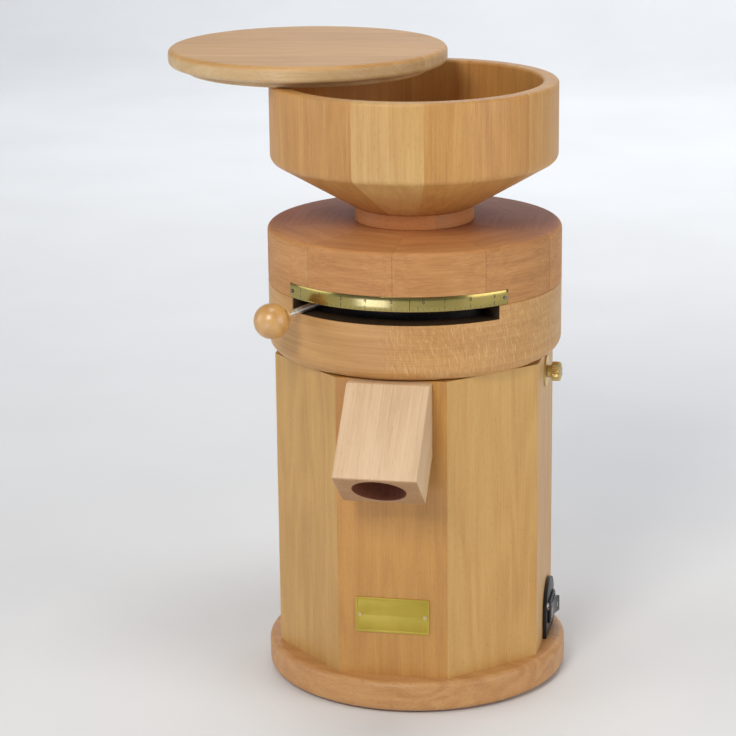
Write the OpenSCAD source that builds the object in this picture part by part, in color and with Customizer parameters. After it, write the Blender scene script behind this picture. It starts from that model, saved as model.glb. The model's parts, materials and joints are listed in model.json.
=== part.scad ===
// Electric grain mill: eight-sided wooden body, two-part drum with a lever-set millstone,
// coopered hopper with a loose lid, slanted flour spout and a rocker switch on the right side.
// Millimetres, +Z up, origin at the centre of the underside, front towards -Y.

/* [Base] */
// Radius of the round base disc
base_r = 105; // [103:1:110]
// Thickness of the base disc
base_t = 21.5; // [18:0.5:24]
// How far the rubber feet stand below the base
foot_t = 1.5; // [1:0.5:3]
// Radius of the air intake in the base
intake_r = 52; // [46:1:54]

/* [Body] */
// Corner radius of the eight-sided body
body_r = 98.8; // [97:0.2:100]
// Height of the eight-sided body
body_h = 210; // [206:0.5:213]
// Thickness of the body boards across the flats
wall = 14; // [12:1:15]
// Radius of the round seat for the milling head
seat_r = 82; // [81:0.5:83]

/* [Drum] */
// Radius of both drums
drum_r = 101; // [99:0.5:102]
// Height of the lower drum
low_h = 48.6; // [48:0.2:50]
// Height of the upper drum
up_h = 41.2; // [38:0.1:44]
// Rise of the upper drum's top from its edge to the neck
crown = 2; // [0:0.5:3]
// Radius of the grinding chamber
chamber_r = 72; // [70:0.5:73]
// Half angle of the lever slot
slot_a = 44; // [30:1:46]
// Height of the lever slot
slot_h = 9.3; // [9:0.1:10]
// Half angle of the brass scale
scale_a = 46.6; // [46:0.2:50]
// Turn of the scale's middle towards the right
scale_o = 1.3; // [0:0.1:2]
// Height of the brass scale
scale_h = 9.8; // [8:0.1:12]

/* [Millstones] */
// Radius of the millstones
stone_r = 50; // [42:1:50]
// Gap between the millstones at the finest setting
stone_gap = 0.3; // [0.3:0.1:1]
// Radius of the feed eye in the upper millstone
eye_r = 17; // [16:0.5:18]

/* [Lever] */
// Rest angle of the lever, from straight ahead towards the left
lever_a = 38.5; // [30:0.5:42]
// Diameter of the lever rod
rod_d = 4.5; // [4:0.5:5]
// Droop of the lever rod below the horizontal
droop = 7.8; // [6:0.2:8]
// Distance of the knob from the mill's axis
knob_x = 126; // [122:1:140]
// Diameter of the lever knob
knob_d = 24; // [20:0.5:28]

/* [Hopper] */
// Outside radius of the hopper
hop_r = 98.3; // [94:0.1:99]
// Thickness of the hopper staves
hop_wall = 11; // [9:0.5:12]
// Height of the straight part of the hopper
hop_h = 52.3; // [40:0.1:80]
// Radius of the hopper's neck
neck_r = 41; // [40:0.5:44]
// Height of the neck above the drum
neck_h = 10; // [9:0.5:14]
// Height of the cone under the straight part
cone_h = 33.5; // [31:0.5:40]

/* [Lid] */
// Radius of the hopper lid
lid_r = 97; // [92:0.5:98]
// Thickness of the lid
lid_t = 11.5; // [9:0.5:13]
// Lid centre, left and right
lid_x = -81.2; // [-84:0.2:84]
// Lid centre, front and back
lid_y = 36; // [-40:0.5:38]

/* [Spout] */
// Width of the spout
spout_w = 56; // [52:1:60]
// Radius of the spout's mouth
mouth_r = 18; // [15:0.5:18.5]
// Radius of the flour duct
duct_r = 13; // [10:0.5:13]

/* [Switch] */
// Centre of the switch, front and back
switch_y = 13.5; // [8:0.5:14]
// Height of the rocker's centre
switch_z = 40; // [39:0.5:42]
// Height of the centre of the plate's round top
plate_z0 = 41.5; // [40:0.5:44]
// Half width of the arched switch plate
plate_r = 20.5; // [18:0.5:22]
// Tilt of the rocker at rest
rocker_a = 9; // [5:0.5:9]

/* [Hidden] */
$fn = 96;

wood = "#d9a36a";
pale = "#e9c795";
brass = "#c9a04a";
steel = "#9aa0a6";
black = "#1c1d20";

body_z = foot_t + base_t;                 // underside of the body
head_z = body_z + body_h;                 // top of the body, parting plane of the head
mid_z = head_z + low_h;                   // joint between the drums
top_z = mid_z + up_h;                     // top of the upper drum
cyl_z = top_z + neck_h + cone_h;          // bottom of the hopper's straight wall
rim_z = cyl_z + hop_h;                    // hopper rim
body_f = body_r * cos(22.5);              // distance of the body's faces from the axis
in_f = body_f - wall;
in_r = in_f / cos(22.5);
deck_z = head_z - 25;                     // top of the motor deck, floor of the head's seat
deck_t = 12;
pan_z = head_z - 5;                       // floor of the grinding chamber
ledge_z = mid_z - 15.6;                   // ledge that carries the adjusting ring
seat2_r = 84;                             // radius of the adjusting ring's seat
stone_z = head_z + 22.1 - stone_gap / 2;  // top of the lower millstone
plate_z = stone_z - 20;                   // underside of the lower millstone
carrier_top = mid_z - 1.3;
lip_y = -152;                             // upper edge of the spout's end
lip_z = 182;
toe_y = -118;                             // lower edge of the spout's end
toe_z = 156;
mouth_y = (lip_y + toe_y) / 2;
mouth_z = (lip_z + toe_z) / 2;
clamp_z = head_z - 15;
screw_r = (body_f + in_f) / 2 / cos(13);  // base screws run up the middle of four boards
bowl_z = top_z + neck_h + 0.4;            // bottom of the staved bowl, on the neck ring
bowl_r = 20 + 1.4 * (hop_r - hop_wall - 20) / (cyl_z + 5 - bowl_z + 1.4);
drum_a = -88.1;                           // first joint of the upper drum's ten segments
// Joints between the hopper's staves, in degrees.
staves = [-161, -143, -124, -105, -77, -56, -30, -4, 22, 48, 74, 100, 127, 153, 179];

// Points of an arc about (x, y), n steps, in degrees.
function arc(x, y, r, a0, a1, n = 8) = [for (i = [0:n]) let (a = a0 + (a1 - a0) * i / n) [x + r * cos(a), y + r * sin(a)]];

module ring(ro, ri, z0, z1) { translate([0, 0, z0]) difference() { cylinder(r = ro, h = z1 - z0); translate([0, 0, -1]) cylinder(r = ri, h = z1 - z0 + 2); } }
module rod(r, z0, z1) { translate([0, 0, z0]) cylinder(r = r, h = z1 - z0); }
module octagon(r, z0, z1) { translate([0, 0, z0]) rotate([0, 0, 22.5]) cylinder(r = r, h = z1 - z0, $fn = 8); }
// Octagonal prism with rounded upright edges.
module soft_octagon(r, rr, z0, z1) {
    c = r - rr / cos(22.5);
    translate([0, 0, z0]) linear_extrude(z1 - z0)
        polygon([for (k = [0:7]) for (i = [0:4]) let (a = 22.5 + 45 * k, b = a - 22.5 + 45 * i / 4) [c * cos(a) + rr * cos(b), c * sin(a) + rr * sin(b)]]);
}
// Cylinder along +X from x0 to x1.
module xrod(r, x0, x1) { translate([x0, 0, 0]) rotate([0, 90, 0]) cylinder(r = r, h = x1 - x0); }
// Places its children on a circle.
module around(angles, r) { for (a = angles) rotate([0, 0, a]) translate([r, 0, 0]) children(); }
// Straight tube between two points.
module stick(a, b, r) {
    d = b - a; l = norm(d);
    translate(a) rotate([0, acos(d[2] / l), atan2(d[1], d[0])]) cylinder(r = r, h = l, $fn = 24);
}
// The flour duct as a solid, from the mouth into the grinding chamber.
module duct(m = mouth_r, d = duct_r) {
    translate([0, mouth_y, mouth_z]) rotate([-45, 0, 0]) {
        translate([0, 0, -30]) cylinder(r = m, h = 56);
        translate([0, 0, 26]) cylinder(r1 = m, r2 = d, h = 10);
        translate([0, 0, 36]) cylinder(r = d, h = 62);
    }
}

// Base
module rubber_feet() {
    color("#2a2a2a") around([45, 135, 225, 315], 90)
        union() { rod(9, 0, foot_t); rod(2.9, foot_t, foot_t + 7); }
}
module base_disc() {
    rt = 4; rb = 5;
    color(wood) difference() {
        rotate_extrude() polygon(concat([[0, foot_t]], arc(base_r - rb, foot_t + rb, rb, -90, 0), arc(base_r - rt, body_z - rt, rt, 0, 90), [[0, body_z]]));
        rod(intake_r, 0, body_z + 1);
        rod(58, 0, foot_t + 3.2);
        around([45, 135, 225, 315], 90) rod(3, foot_t - 1, foot_t + 8);
        around([58, 122, 238, 302], screw_r) union() { rod(4.8, 0, foot_t + 6); rod(2.1, 0, body_z + 1); }
        around([0, 120, 240], 55) rod(1.2, 0, foot_t + 14);
    }
}
module base_screws() {
    color(steel) around([58, 122, 238, 302], screw_r) difference() {
        union() { rod(4.2, foot_t + 3, foot_t + 6); rod(2, foot_t + 6, body_z + 24); }
        translate([-2.6, -0.5, foot_t + 2]) cube([5.2, 1, 2.6]);
        translate([-0.5, -2.6, foot_t + 2]) cube([1, 5.2, 2.6]);
    }
}
module vent_grille() {
    color(black) difference() {
        rod(57.6, foot_t + 1, foot_t + 3.1);
        for (i = [-5:5]) translate([-0.5 * (2 * sqrt(48 * 48 - 64 * i * i)), i * 8 - 2, 0]) cube([2 * sqrt(48 * 48 - 64 * i * i), 4.2, 12]);
        around([0, 120, 240], 55) rod(1.3, 0, 12);
    }
}
module grille_screws() {
    color(steel) around([0, 120, 240], 55) union() { rod(2.2, foot_t + 0.1, foot_t + 1); rod(1.1, foot_t + 1, foot_t + 13); }
}

// Body
// Eight mitred boards, glued at the corners.
module body_shell() {
    color(wood) difference() {
        soft_octagon(body_r, 2.2, body_z, head_z);
        for (k = [0:7]) rotate([0, 0, 22.5 + 45 * k]) translate([60, -0.02, body_z - 1]) cube([60, 0.04, body_h + 2]);
        octagon(in_r, body_z - 1, deck_z);
        rod(seat_r, deck_z - 2, head_z + 1);
        duct(d = duct_r + 0.8);
        around([58, 122, 238, 302], screw_r) rod(2.1, body_z - 1, body_z + 26);
        translate([0, 0, clamp_z]) xrod(5.6, 70, 110);
        translate([60, switch_y - 12.3, switch_z - 7.3]) cube([60, 24.6, 14.6]);
        translate([0, 0, 48]) rotate([0, 0, 90]) xrod(8.1, 60, 110);
        for (s = [-1, 1]) translate([s * 21.5, 0, 192]) rotate([0, 0, -90]) xrod(2.1, 60, 110);
        for (s = [-1, 1]) translate([s * 22.5, 0, 66.5]) rotate([0, 0, -90]) xrod(0.85, body_f - 5, body_f + 5);
        for (s = [-16.3, 16.3]) translate([0, switch_y + s, plate_z0 + 4.5]) xrod(1.55, body_f - 9, body_f + 5);
    }
}
module motor_deck() {
    color(pale) difference() {
        octagon(in_r - 0.1, deck_z - deck_t, deck_z - 0.05);
        rod(22, deck_z - 20, deck_z + 1);
        around([45, 135, 225, 315], 36) union() { rod(2.7, deck_z - 20, deck_z + 1); rod(5.2, deck_z - 5, deck_z + 1); }
    }
}
module chamber_pan() {
    color("#c9ccd0") difference() {
        union() { rod(71.6, deck_z, pan_z); ring(18.5, 15.5, pan_z - 1, pan_z + 2); }
        rod(15.5, deck_z - 1, pan_z + 3);
        ring(56, 24, deck_z - 1, pan_z - 6);
        duct();
    }
}
module shaft_seal() { color("#e8e4d8") ring(15.4, 7.3, pan_z - 6, pan_z + 0.5); }

// Spout
module outlet_spout() {
    color(pale) difference() {
        translate([spout_w / 2, 0, 0]) rotate([90, 0, -90]) linear_extrude(spout_w)
            polygon([[body_f, head_z - 0.3], [-lip_y - 50.3, head_z - 0.3], [-lip_y, lip_z], [-toe_y, toe_z], [body_f, toe_z + (-toe_y - body_f) * 0.95]]);
        duct();
        for (s = [-1, 1]) translate([s * 21.5, 0, 192]) rotate([0, 0, -90]) xrod(1.9, 60, 106);
    }
}
module spout_screws() {
    color(steel) for (s = [-1, 1]) translate([s * 21.5, 0, 192]) rotate([0, 0, -90])
        union() { xrod(1.85, in_f, 105.5); xrod(3.8, in_f - 2.4, in_f); }
}

// Bare plate on the front
module label_plate() {
    color(brass) difference() {
        translate([-25.5, -body_f - 0.8, 54]) cube([51, 0.8, 25]);
        for (s = [-1, 1]) translate([s * 22.5, 0, 66.5]) rotate([0, 0, -90]) xrod(0.9, 80, 100);
    }
}
module plate_pins() {
    color(brass) for (s = [-1, 1]) translate([s * 22.5, 0, 66.5]) rotate([0, 0, -90])
        union() { xrod(0.8, body_f - 4.8, body_f + 0.8); xrod(1.5, body_f + 0.8, body_f + 1.3); }
}

// Clamp screw for the milling head, right side
module clamp_insert() {
    color(brass) translate([0, 0, clamp_z]) difference() {
        union() { xrod(5.5, 83, body_f); xrod(11, body_f, body_f + 1.2); }
        xrod(3.06, 80, 100);
    }
}
module clamp_stem() {
    color(steel) translate([0, 0, clamp_z]) union() { xrod(3, seat_r - 0.1, body_f + 10.6); xrod(2.2, body_f + 10.6, body_f + 11.6); }
}
module clamp_knob() {
    x0 = body_f + 1.6;
    color(brass) translate([x0, 0, clamp_z]) rotate([0, 90, 0]) difference() {
        union() {
            rotate_extrude() polygon([[3, 0], [4.4, 0], [4.4, 2.4], [5.9, 2.8], [6.4, 3.5], [6.4, 8.1], [5.7, 9], [3, 9.5]]);
            for (i = [0:23]) rotate([0, 0, i * 15]) translate([6.15, -0.35, 3.8]) cube([0.6, 0.7, 4]);
        }
        translate([0, 0, -1]) cylinder(r = 3.08, h = 20);
    }
}

// Switch, right side
module switch_plate() {
    color(black) translate([body_f, 0, 0]) rotate([90, 0, 90]) linear_extrude(2.8) difference() {
        union() {
            translate([switch_y - plate_r, body_z + 0.1]) square([2 * plate_r, plate_z0 - body_z]);
            translate([switch_y, plate_z0]) circle(r = plate_r);
        }
        translate([switch_y - 12.2, switch_z - 7.2]) square([24.4, 14.4]);
        translate([switch_y - plate_r - 1, 0]) square([2 * plate_r + 2, body_z + 0.1]);
        for (p = [-16.3, 16.3]) translate([switch_y + p, plate_z0 + 4.5]) circle(r = 1.6);
    }
}
module switch_plate_screws() {
    color(steel) for (s = [-16.3, 16.3]) translate([0, switch_y + s, plate_z0 + 4.5]) difference() {
        union() { xrod(1.5, body_f - 8.5, body_f + 2.8); xrod(2.7, body_f + 2.8, body_f + 3.9); }
        translate([body_f + 3.2, -3, -0.35]) cube([2, 6, 0.7]);
    }
}
module switch_body() {
    x0 = body_f - 26;
    color(black) difference() {
        union() {
            translate([x0, switch_y - 12, switch_z - 7]) cube([26 + 2.8, 24, 14]);
            translate([body_f + 2.8, switch_y - 13.2, switch_z - 8.2]) cube([2, 26.4, 16.4]);
        }
        translate([body_f - 7, switch_y - 11.2, switch_z - 6.1]) cube([20, 22.4, 12.2]);
        translate([body_f + 0.6, switch_y, switch_z - 7.6]) cylinder(r = 0.95, h = 15.2, $fn = 32);
    }
}
module switch_rocker() {
    color("#26272a") translate([body_f + 0.6, switch_y, switch_z]) rotate([0, 0, -rocker_a]) difference() {
        translate([0, 0, -5.7]) linear_extrude(11.4)
            polygon(concat([[-3.4, -5], [0.5, -10.3], [6.2, -10.3]], [for (i = [1:7]) let (y = -10.3 + 20.6 * i / 8) [6.2 - 1.0 * (1 - pow(y / 10.3, 2)), y]], [[6.2, 10.3], [0.5, 10.3], [-3.4, 5]]));
        translate([0, 0, -8]) cylinder(r = 1.0, h = 16, $fn = 32);
    }
}
module rocker_pin() { color(steel) translate([body_f + 0.6, switch_y, switch_z - 6.8]) cylinder(r = 0.93, h = 13.6, $fn = 32); }
module switch_tabs() {
    color(brass) for (s = [-1, 1]) translate([body_f - 34, switch_y + s * 6 - 0.4, switch_z - 3.1]) cube([8, 0.8, 6.2]);
}

// Supply inlet and wiring
module cable_gland() {
    color(black) translate([0, 0, 48]) rotate([0, 0, 90]) difference() {
        union() { xrod(8, body_f - 20, body_f); xrod(12, body_f, body_f + 2.6); xrod(9, body_f + 2.6, body_f + 5.4); }
        xrod(3.6, 50, 120);
    }
}
module gland_nut() {
    color(black) translate([0, 0, 48]) rotate([0, 0, 90]) difference() {
        translate([in_f - 5, 0, 0]) rotate([0, 90, 0]) cylinder(r = 12.5, h = 4.9, $fn = 6);
        xrod(8.05, 50, 120);
    }
}
module terminal_block() {
    color("#e6e6e2") translate([-50, 44.5, body_z]) difference() {
        cube([24, 13.5, 12]);
        for (i = [0:2]) translate([4.5 + 7.5 * i, 7, 5]) cylinder(r = 1.8, h = 20, $fn = 24);
        for (i = [0:2]) translate([4.5 + 7.5 * i, -1, 5]) rotate([-90, 0, 0]) cylinder(r = 1.3, h = 20, $fn = 24);
    }
}
module internal_leads() {
    zt = body_z + 5;
    a = [[-45.5, 43, zt], [-50, 28, zt + 6], [-58, 8, 60], [-46.5, 0, 91]];
    b = [[-38, 43, zt], [-24, 30, zt + 1], [20, 8, zt + 4], [55.7, switch_y - 6, switch_z]];
    c = [[-30.5, 43, zt], [-14, 36, zt + 1], [24, 26, zt + 4], [55.7, switch_y + 6, switch_z]];
    color("#7a4a2a") for (p = [a, b, c]) union() {
        for (i = [0:2]) stick(p[i], p[i + 1], 1.2);
        for (q = p) translate(q) sphere(r = 1.45, $fn = 24);
    }
}
module run_capacitor() {
    color("#c8ccd2") rotate([0, 0, 135]) translate([61.5, 0, 0]) union() {
        rod(13.5, 100, 158); rod(11, 98, 100);
        for (s = [-4, 4]) translate([s, 0, 92]) cylinder(r = 1, h = 6, $fn = 24);
    }
}
module capacitor_clip() {
    color(steel) rotate([0, 0, 135]) difference() {
        union() { translate([61.5, 0, 0]) ring(14.6, 13.55, 124, 134); translate([75.2, -6, 124]) cube([2, 12, 10]); }
        translate([30, -6, 120]) cube([22, 12, 20]);
    }
}

// Motor
module motor_housing() { color("#8d9298") ring(45, 41, 88, deck_z - 28); }
module motor_top_cap() {
    z1 = deck_z - deck_t; z0 = z1 - 16;
    color("#a5aab0") difference() {
        union() { rod(45, z0, z1 - 0.05); rod(21.5, z1 - 1, z1 + 3); }
        rod(17.55, z0 - 1, z1 - 2.9);
        rod(8.5, z0 - 1, z1 + 4);
        around([45, 135, 225, 315], 36) rod(2.2, z1 - 14, z1 + 5);
        around([0, 90, 180, 270], 39) rod(2.1, z0 - 1, z1 - 4);
    }
}
module motor_bottom_cap() {
    color("#a5aab0") difference() {
        rod(45, 76, 88);
        rod(17.55, 79, 90);
        rod(8.5, 70, 90);
        around([0, 90, 180, 270], 39) rod(2.1, 70, 90);
        around([22.5, 67.5, 112.5, 157.5, 202.5, 247.5, 292.5, 337.5], 30) rod(5, 70, 90);
    }
}
module motor_screws() {
    z1 = deck_z - 5;
    color(steel) around([45, 135, 225, 315], 36) difference() {
        union() { rod(4.3, z1, z1 + 4.4); rod(2.15, z1 - 20, z1); }
        translate([0, 0, z1 + 2]) cylinder(r = 2.2, h = 3, $fn = 6);
    }
}
module motor_tie_bolts() {
    z1 = deck_z - deck_t - 5;
    color(steel) around([0, 90, 180, 270], 39) union() { rod(1.9, 75.9, z1); rod(3.4, 72.8, 75.9); }
}
module stator_core() {
    color("#6f7378") difference() {
        ring(40.9, 29, 104, 164);
        around([0, 90, 180, 270], 39) rod(2.4, 90, 180);
        around([for (i = [0:23]) i * 15 + 7.5], 33) rod(1.7, 90, 180);
    }
}
module stator_windings() { color("#b5652a") { ring(37, 30, 94, 103.9); ring(37, 30, 164.1, 174); } }
module upper_bearing() { z1 = deck_z - deck_t - 3; color(steel) ring(17.5, 7.05, z1 - 11, z1); }
module lower_bearing() { color(steel) ring(17.5, 7.05, 79.1, 88); }
module motor_shaft() {
    color("#b8bdc2") union() { rod(7, 54, stone_z - 9); rod(5, stone_z - 9, stone_z + 2); }
}
module rotor_core() { color("#5f6368") ring(28.4, 7.03, 104, 164); }
module cooling_fan() {
    color("#2b2d30") union() {
        ring(13, 7.03, 56, 71);
        ring(40, 12.5, 69, 71);
        for (i = [0:8]) rotate([0, 0, i * 40]) translate([12, -0.9, 57]) cube([27, 1.8, 12.5]);
    }
}

// Grinding set
module flinger_plate() {
    color("#b4b8bd") difference() {
        union() {
            rod(60, plate_z - 3.6, plate_z - 0.02);
            rod(12, pan_z + 0.9, plate_z - 3);
            around([20, 200], 60) translate([-3, -1.5, pan_z + 1.4]) cube([11.4, 3, 9]);
        }
        rod(7.03, pan_z - 2, plate_z + 2);
    }
}
module lower_millstone() {
    color("#d8d4cb") difference() {
        rod(stone_r, plate_z, stone_z);
        rod(7.03, plate_z - 1, stone_z + 1);
        rod(14, stone_z - 9, stone_z + 1);
        for (i = [0:7]) rotate([0, 0, i * 45]) translate([18, 6, stone_z - 1.6]) cube([36, 2.4, 4]);
    }
}
module stone_nut() {
    color(brass) difference() {
        union() { rod(12, stone_z - 9, stone_z - 7.4); translate([0, 0, stone_z - 7.4]) cylinder(r = 9.2, h = 6.2, $fn = 6); }
        rod(5.03, stone_z - 12, stone_z + 3);
    }
}
module upper_millstone() {
    z0 = stone_z + stone_gap;
    color("#cfcbc2") difference() {
        rod(stone_r, z0, carrier_top - 5.4);
        rod(eye_r, z0 - 1, carrier_top);
        translate([0, 0, z0 - 0.01]) cylinder(r1 = 38, r2 = eye_r - 0.5, h = 5);
        for (i = [0:7]) rotate([0, 0, i * 45 + 20]) translate([34, 6, z0 - 2]) cube([20, 2.4, 3.6]);
    }
}
module stone_carrier() {
    color("#aeb3b9") difference() {
        rod(66, carrier_top - 18, carrier_top);
        rod(stone_r + 0.05, carrier_top - 19, carrier_top - 5.4);
        rod(eye_r + 0.5, carrier_top - 10, carrier_top + 1);
        around([90, 210, 330], 58.5) rod(3.08, carrier_top - 11, carrier_top + 1);
    }
}
module guide_pins() { color(steel) around([90, 210, 330], 58.5) rod(3, carrier_top - 8, mid_z + 16); }
module wave_spring() { color(steel) ring(47, 40, carrier_top + 0.05, carrier_top + 4.4); }
module adjusting_ring() {
    z0 = ledge_z + 0.3;
    color("#9ba0a6") difference() {
        ring(seat2_r - 0.3, 66.08, z0, mid_z - 0.4);
        lever_place() xrod(rod_d / 2 + 0.02, -8.5, 40);
    }
}
// Moves its children to the lever's root, with +X along the lever.
module lever_place() { rotate([0, 0, -90 - lever_a]) translate([84, 0, mid_z - 4.05]) rotate([0, droop, 0]) children(); }
module lever_rod() { color(steel) lever_place() xrod(rod_d / 2, -8, (knob_x - 84) / cos(droop) + 2); }
module lever_knob() {
    c = (knob_x - 84) / cos(droop);
    color("#d99b5f") lever_place() difference() {
        union() { translate([c, 0, 0]) sphere(r = knob_d / 2); xrod(5, c - knob_d / 2 - 0.7, c); }
        xrod(rod_d / 2 + 0.02, c - 30, c + 2.1);
    }
}

// Milling head
// Wall of the grinding chamber: it sits in the body's seat below and carries the adjusting ring on top.
module chamber_ring() {
    color(pale) difference() { ring(seat_r - 0.3, chamber_r, deck_z + 6, ledge_z); duct(); }
}
module lower_drum() {
    r = 10;
    color(wood) difference() {
        rotate_extrude() polygon(concat([[seat_r - 0.25, head_z + 0.2]],
            arc(drum_r - r, head_z + 0.2 + r, r, -90, 0, 12), [[drum_r, mid_z - 0.6], [drum_r - 0.6, mid_z - 0.01],
            [seat2_r, mid_z - 0.01], [seat2_r, ledge_z], [seat_r - 0.25, ledge_z]]));
        duct();
        rotate([0, 0, -90 - slot_a]) rotate_extrude(angle = 2 * slot_a) translate([seat2_r - 2, mid_z - slot_h]) square([30, slot_h + 2]);
        around([-22.5, 22.5, 67.5, 112.5, 157.5, 202.5], 90) union() { rod(2.1, head_z - 1, mid_z + 1); rod(4.3, head_z - 1, head_z + 20); }
    }
}
module drum_screws() {
    color(steel) around([-22.5, 22.5, 67.5, 112.5, 157.5, 202.5], 90)
        union() { rod(4, head_z + 17, head_z + 20); rod(2, head_z + 20, mid_z + 22); }
}
// Upper drum, glued up from ten segments.
module upper_drum() {
    r = 4;
    color(wood) difference() {
        rotate_extrude() polygon(concat([[eye_r + 2, mid_z], [drum_r - 0.6, mid_z], [drum_r, mid_z + 0.6]], arc(drum_r - r, top_z - crown - r, r, 0, 88, 8),
            [[neck_r + 4, top_z], [36.2, top_z], [36.2, top_z - 14], [15.1, top_z - 14], [15.1, mid_z + 8], [eye_r + 2, mid_z + 8]]));
        rod(68, mid_z - 1, mid_z + 1.2);
        ring(48, 39, mid_z - 1, mid_z + 3.2);
        rotate([0, 0, -90 - scale_a + scale_o]) rotate_extrude(angle = 2 * scale_a) translate([drum_r - 0.7, mid_z - 1]) square([4, scale_h + 1.4]);
        around([90, 210, 330], 58.5) rod(3.05, mid_z - 1, mid_z + 17);
        around([-22.5, 22.5, 67.5, 112.5, 157.5, 202.5], 90) rod(2.1, mid_z - 1, mid_z + 24);
        around([-90 + scale_o - scale_a + 1.5, -90 + scale_o + scale_a - 1.5], drum_r - 5) translate([0, 0, mid_z + scale_h / 2]) xrod(0.75, -2, 8);
        for (k = [0:9]) rotate([0, 0, drum_a + 36 * k]) translate([5, -0.015, mid_z - 1]) cube([110, 0.03, 50]);
    }
}
module brass_scale() {
    color(brass) difference() {
        rotate([0, 0, -90 - scale_a + scale_o + 0.1]) rotate_extrude(angle = 2 * scale_a - 0.2) translate([drum_r - 0.6, mid_z + 0.3]) square([0.8, scale_h]);
        around([-90 + scale_o - scale_a + 1.5, -90 + scale_o + scale_a - 1.5], drum_r - 5) translate([0, 0, mid_z + scale_h / 2]) xrod(0.8, -2, 8);
    }
}
module scale_pins() {
    color(steel) around([-90 + scale_o - scale_a + 1.5, -90 + scale_o + scale_a - 1.5], drum_r) translate([0, 0, mid_z + scale_h / 2])
        union() { xrod(0.7, -6, 0.2); xrod(1.3, 0.2, 0.8); }
}
module inlet_tube() {
    color("#b9bec4") union() { ring(15, 13.6, carrier_top - 4, top_z - 12); ring(19.5, 13.6, top_z - 13.9, top_z - 12); }
}
module hopper_neck() {
    z1 = top_z + neck_h;
    color(pale) rotate_extrude() polygon([[20, top_z - 13.9], [36, top_z - 13.9], [36, top_z], [neck_r, top_z], [neck_r, bowl_z],
        [bowl_r, bowl_z], [20, z1 - 1], [16, z1 - 6], [16, top_z - 11.9], [20, top_z - 11.9]]);
}
// Coopered bowl of separate staves.
module hopper() {
    ri = hop_r - hop_wall;
    color(wood) difference() {
        rotate_extrude() polygon(concat([[bowl_r, bowl_z], [neck_r + 1, bowl_z]],
            arc(hop_r - 6, cyl_z + 3.2, 6, -60, 0, 6),
            arc(hop_r - 2, rim_z - 2, 2, 0, 90, 4), arc(ri + 2, rim_z - 2, 2, 90, 180, 4), [[ri, cyl_z + 5]]));
        for (a = staves) rotate([0, 0, a]) translate([10, -0.015, bowl_z - 1]) cube([100, 0.03, 120]);
    }
}
module hopper_lid() {
    z0 = rim_z + 0.2; z1 = z0 + 4.5; r = 3.6;
    color(pale) translate([lid_x, lid_y, 0]) rotate_extrude()
        polygon(concat([[0, z0]], arc(lid_r - 13.5, z0 + 1.5, 1.5, -90, 0, 4), [[lid_r - 12, z1]], arc(lid_r - r, z1 + r, r, -90, 0, 6), arc(lid_r - r, z1 + lid_t - r, r, 0, 90, 6), [[0, z1 + lid_t]]));
}

rubber_feet();
base_disc();
base_screws();
vent_grille();
grille_screws();
body_shell();
motor_deck();
chamber_pan();
shaft_seal();
outlet_spout();
spout_screws();
label_plate();
plate_pins();
clamp_insert();
clamp_stem();
clamp_knob();
switch_plate();
switch_plate_screws();
switch_body();
switch_rocker();
rocker_pin();
switch_tabs();
cable_gland();
gland_nut();
terminal_block();
internal_leads();
run_capacitor();
capacitor_clip();
motor_housing();
motor_top_cap();
motor_bottom_cap();
motor_screws();
motor_tie_bolts();
stator_core();
stator_windings();
upper_bearing();
lower_bearing();
motor_shaft();
rotor_core();
cooling_fan();
flinger_plate();
lower_millstone();
stone_nut();
upper_millstone();
stone_carrier();
guide_pins();
wave_spring();
adjusting_ring();
lever_rod();
lever_knob();
lower_drum();
upper_drum();
drum_screws();
brass_scale();
scale_pins();
inlet_tube();
chamber_ring();
hopper_neck();
hopper();
hopper_lid();
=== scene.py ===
import json
import math

import bmesh
import bpy
from mathutils import Matrix, Vector


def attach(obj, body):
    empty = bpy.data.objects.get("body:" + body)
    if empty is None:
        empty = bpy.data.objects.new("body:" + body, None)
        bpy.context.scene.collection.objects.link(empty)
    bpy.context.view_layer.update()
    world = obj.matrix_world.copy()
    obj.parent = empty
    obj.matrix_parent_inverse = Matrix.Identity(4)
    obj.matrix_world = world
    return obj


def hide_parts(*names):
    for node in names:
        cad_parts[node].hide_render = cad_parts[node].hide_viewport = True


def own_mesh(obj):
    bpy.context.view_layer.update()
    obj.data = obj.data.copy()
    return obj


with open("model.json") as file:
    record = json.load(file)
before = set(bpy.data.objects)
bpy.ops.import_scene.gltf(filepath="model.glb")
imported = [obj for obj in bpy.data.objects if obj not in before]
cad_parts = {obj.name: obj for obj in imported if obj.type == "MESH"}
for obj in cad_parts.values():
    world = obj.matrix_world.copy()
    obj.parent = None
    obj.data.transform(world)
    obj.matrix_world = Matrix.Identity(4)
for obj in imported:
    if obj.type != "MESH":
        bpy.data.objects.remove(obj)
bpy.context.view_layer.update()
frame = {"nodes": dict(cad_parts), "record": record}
nodes = frame["nodes"]

MM = 0.001
BODY_F = 98.8 * math.cos(math.radians(22.5))   # distance of the body's faces from the axis
MID_Z, TOP_Z = 281.6, 322.8                    # joint between the drums, top of the upper drum
DRUM_R = 101.0
NECK_Z, CYL_Z, RIM_Z = 332.8, 366.3, 418.6     # hopper: top of neck, bottom of straight wall, rim
HOP_R, HOP_IN, NECK_R = 98.3, 87.3, 41.0
LID_TOP = 434.8


# ---------------------------------------------------------------- camera, light, floor

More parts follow.
